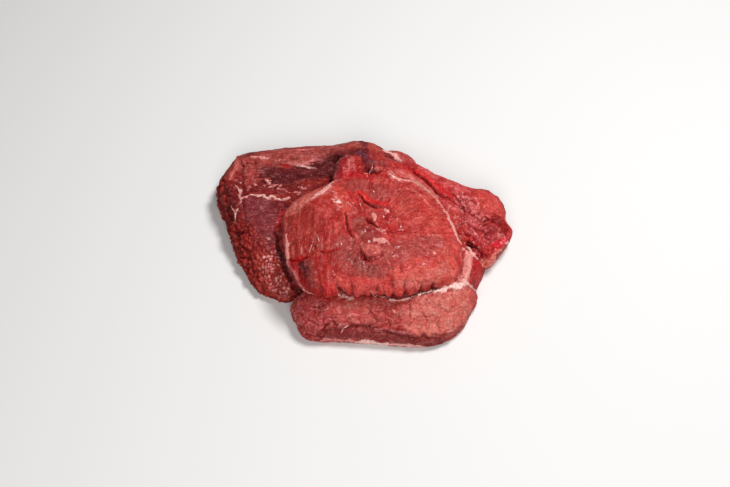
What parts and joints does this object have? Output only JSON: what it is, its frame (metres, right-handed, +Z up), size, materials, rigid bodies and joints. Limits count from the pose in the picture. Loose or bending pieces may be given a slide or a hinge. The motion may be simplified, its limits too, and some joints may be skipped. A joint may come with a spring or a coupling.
{
  "type": "raw beef cheek",
  "caption": "Raw trimmed beef cheek in one piece: a round muscle folded over a thick cut bed, with a flat side to rest on.",
  "frame": {"origin": "centre of the plan box at the height of the surface that the meat rests on", "axes": "+X along the longest side of the cut, +Y away from the thick front slab, +Z up"},
  "size_m": [0.1884, 0.1487, 0.0426],
  "materials": {
    "raw_beef": "moist raw muscle with a soft sheen"
  },
  "bodies": {
    "root": {"beef_cheek": "raw_beef"}
  },
  "joints": []
}
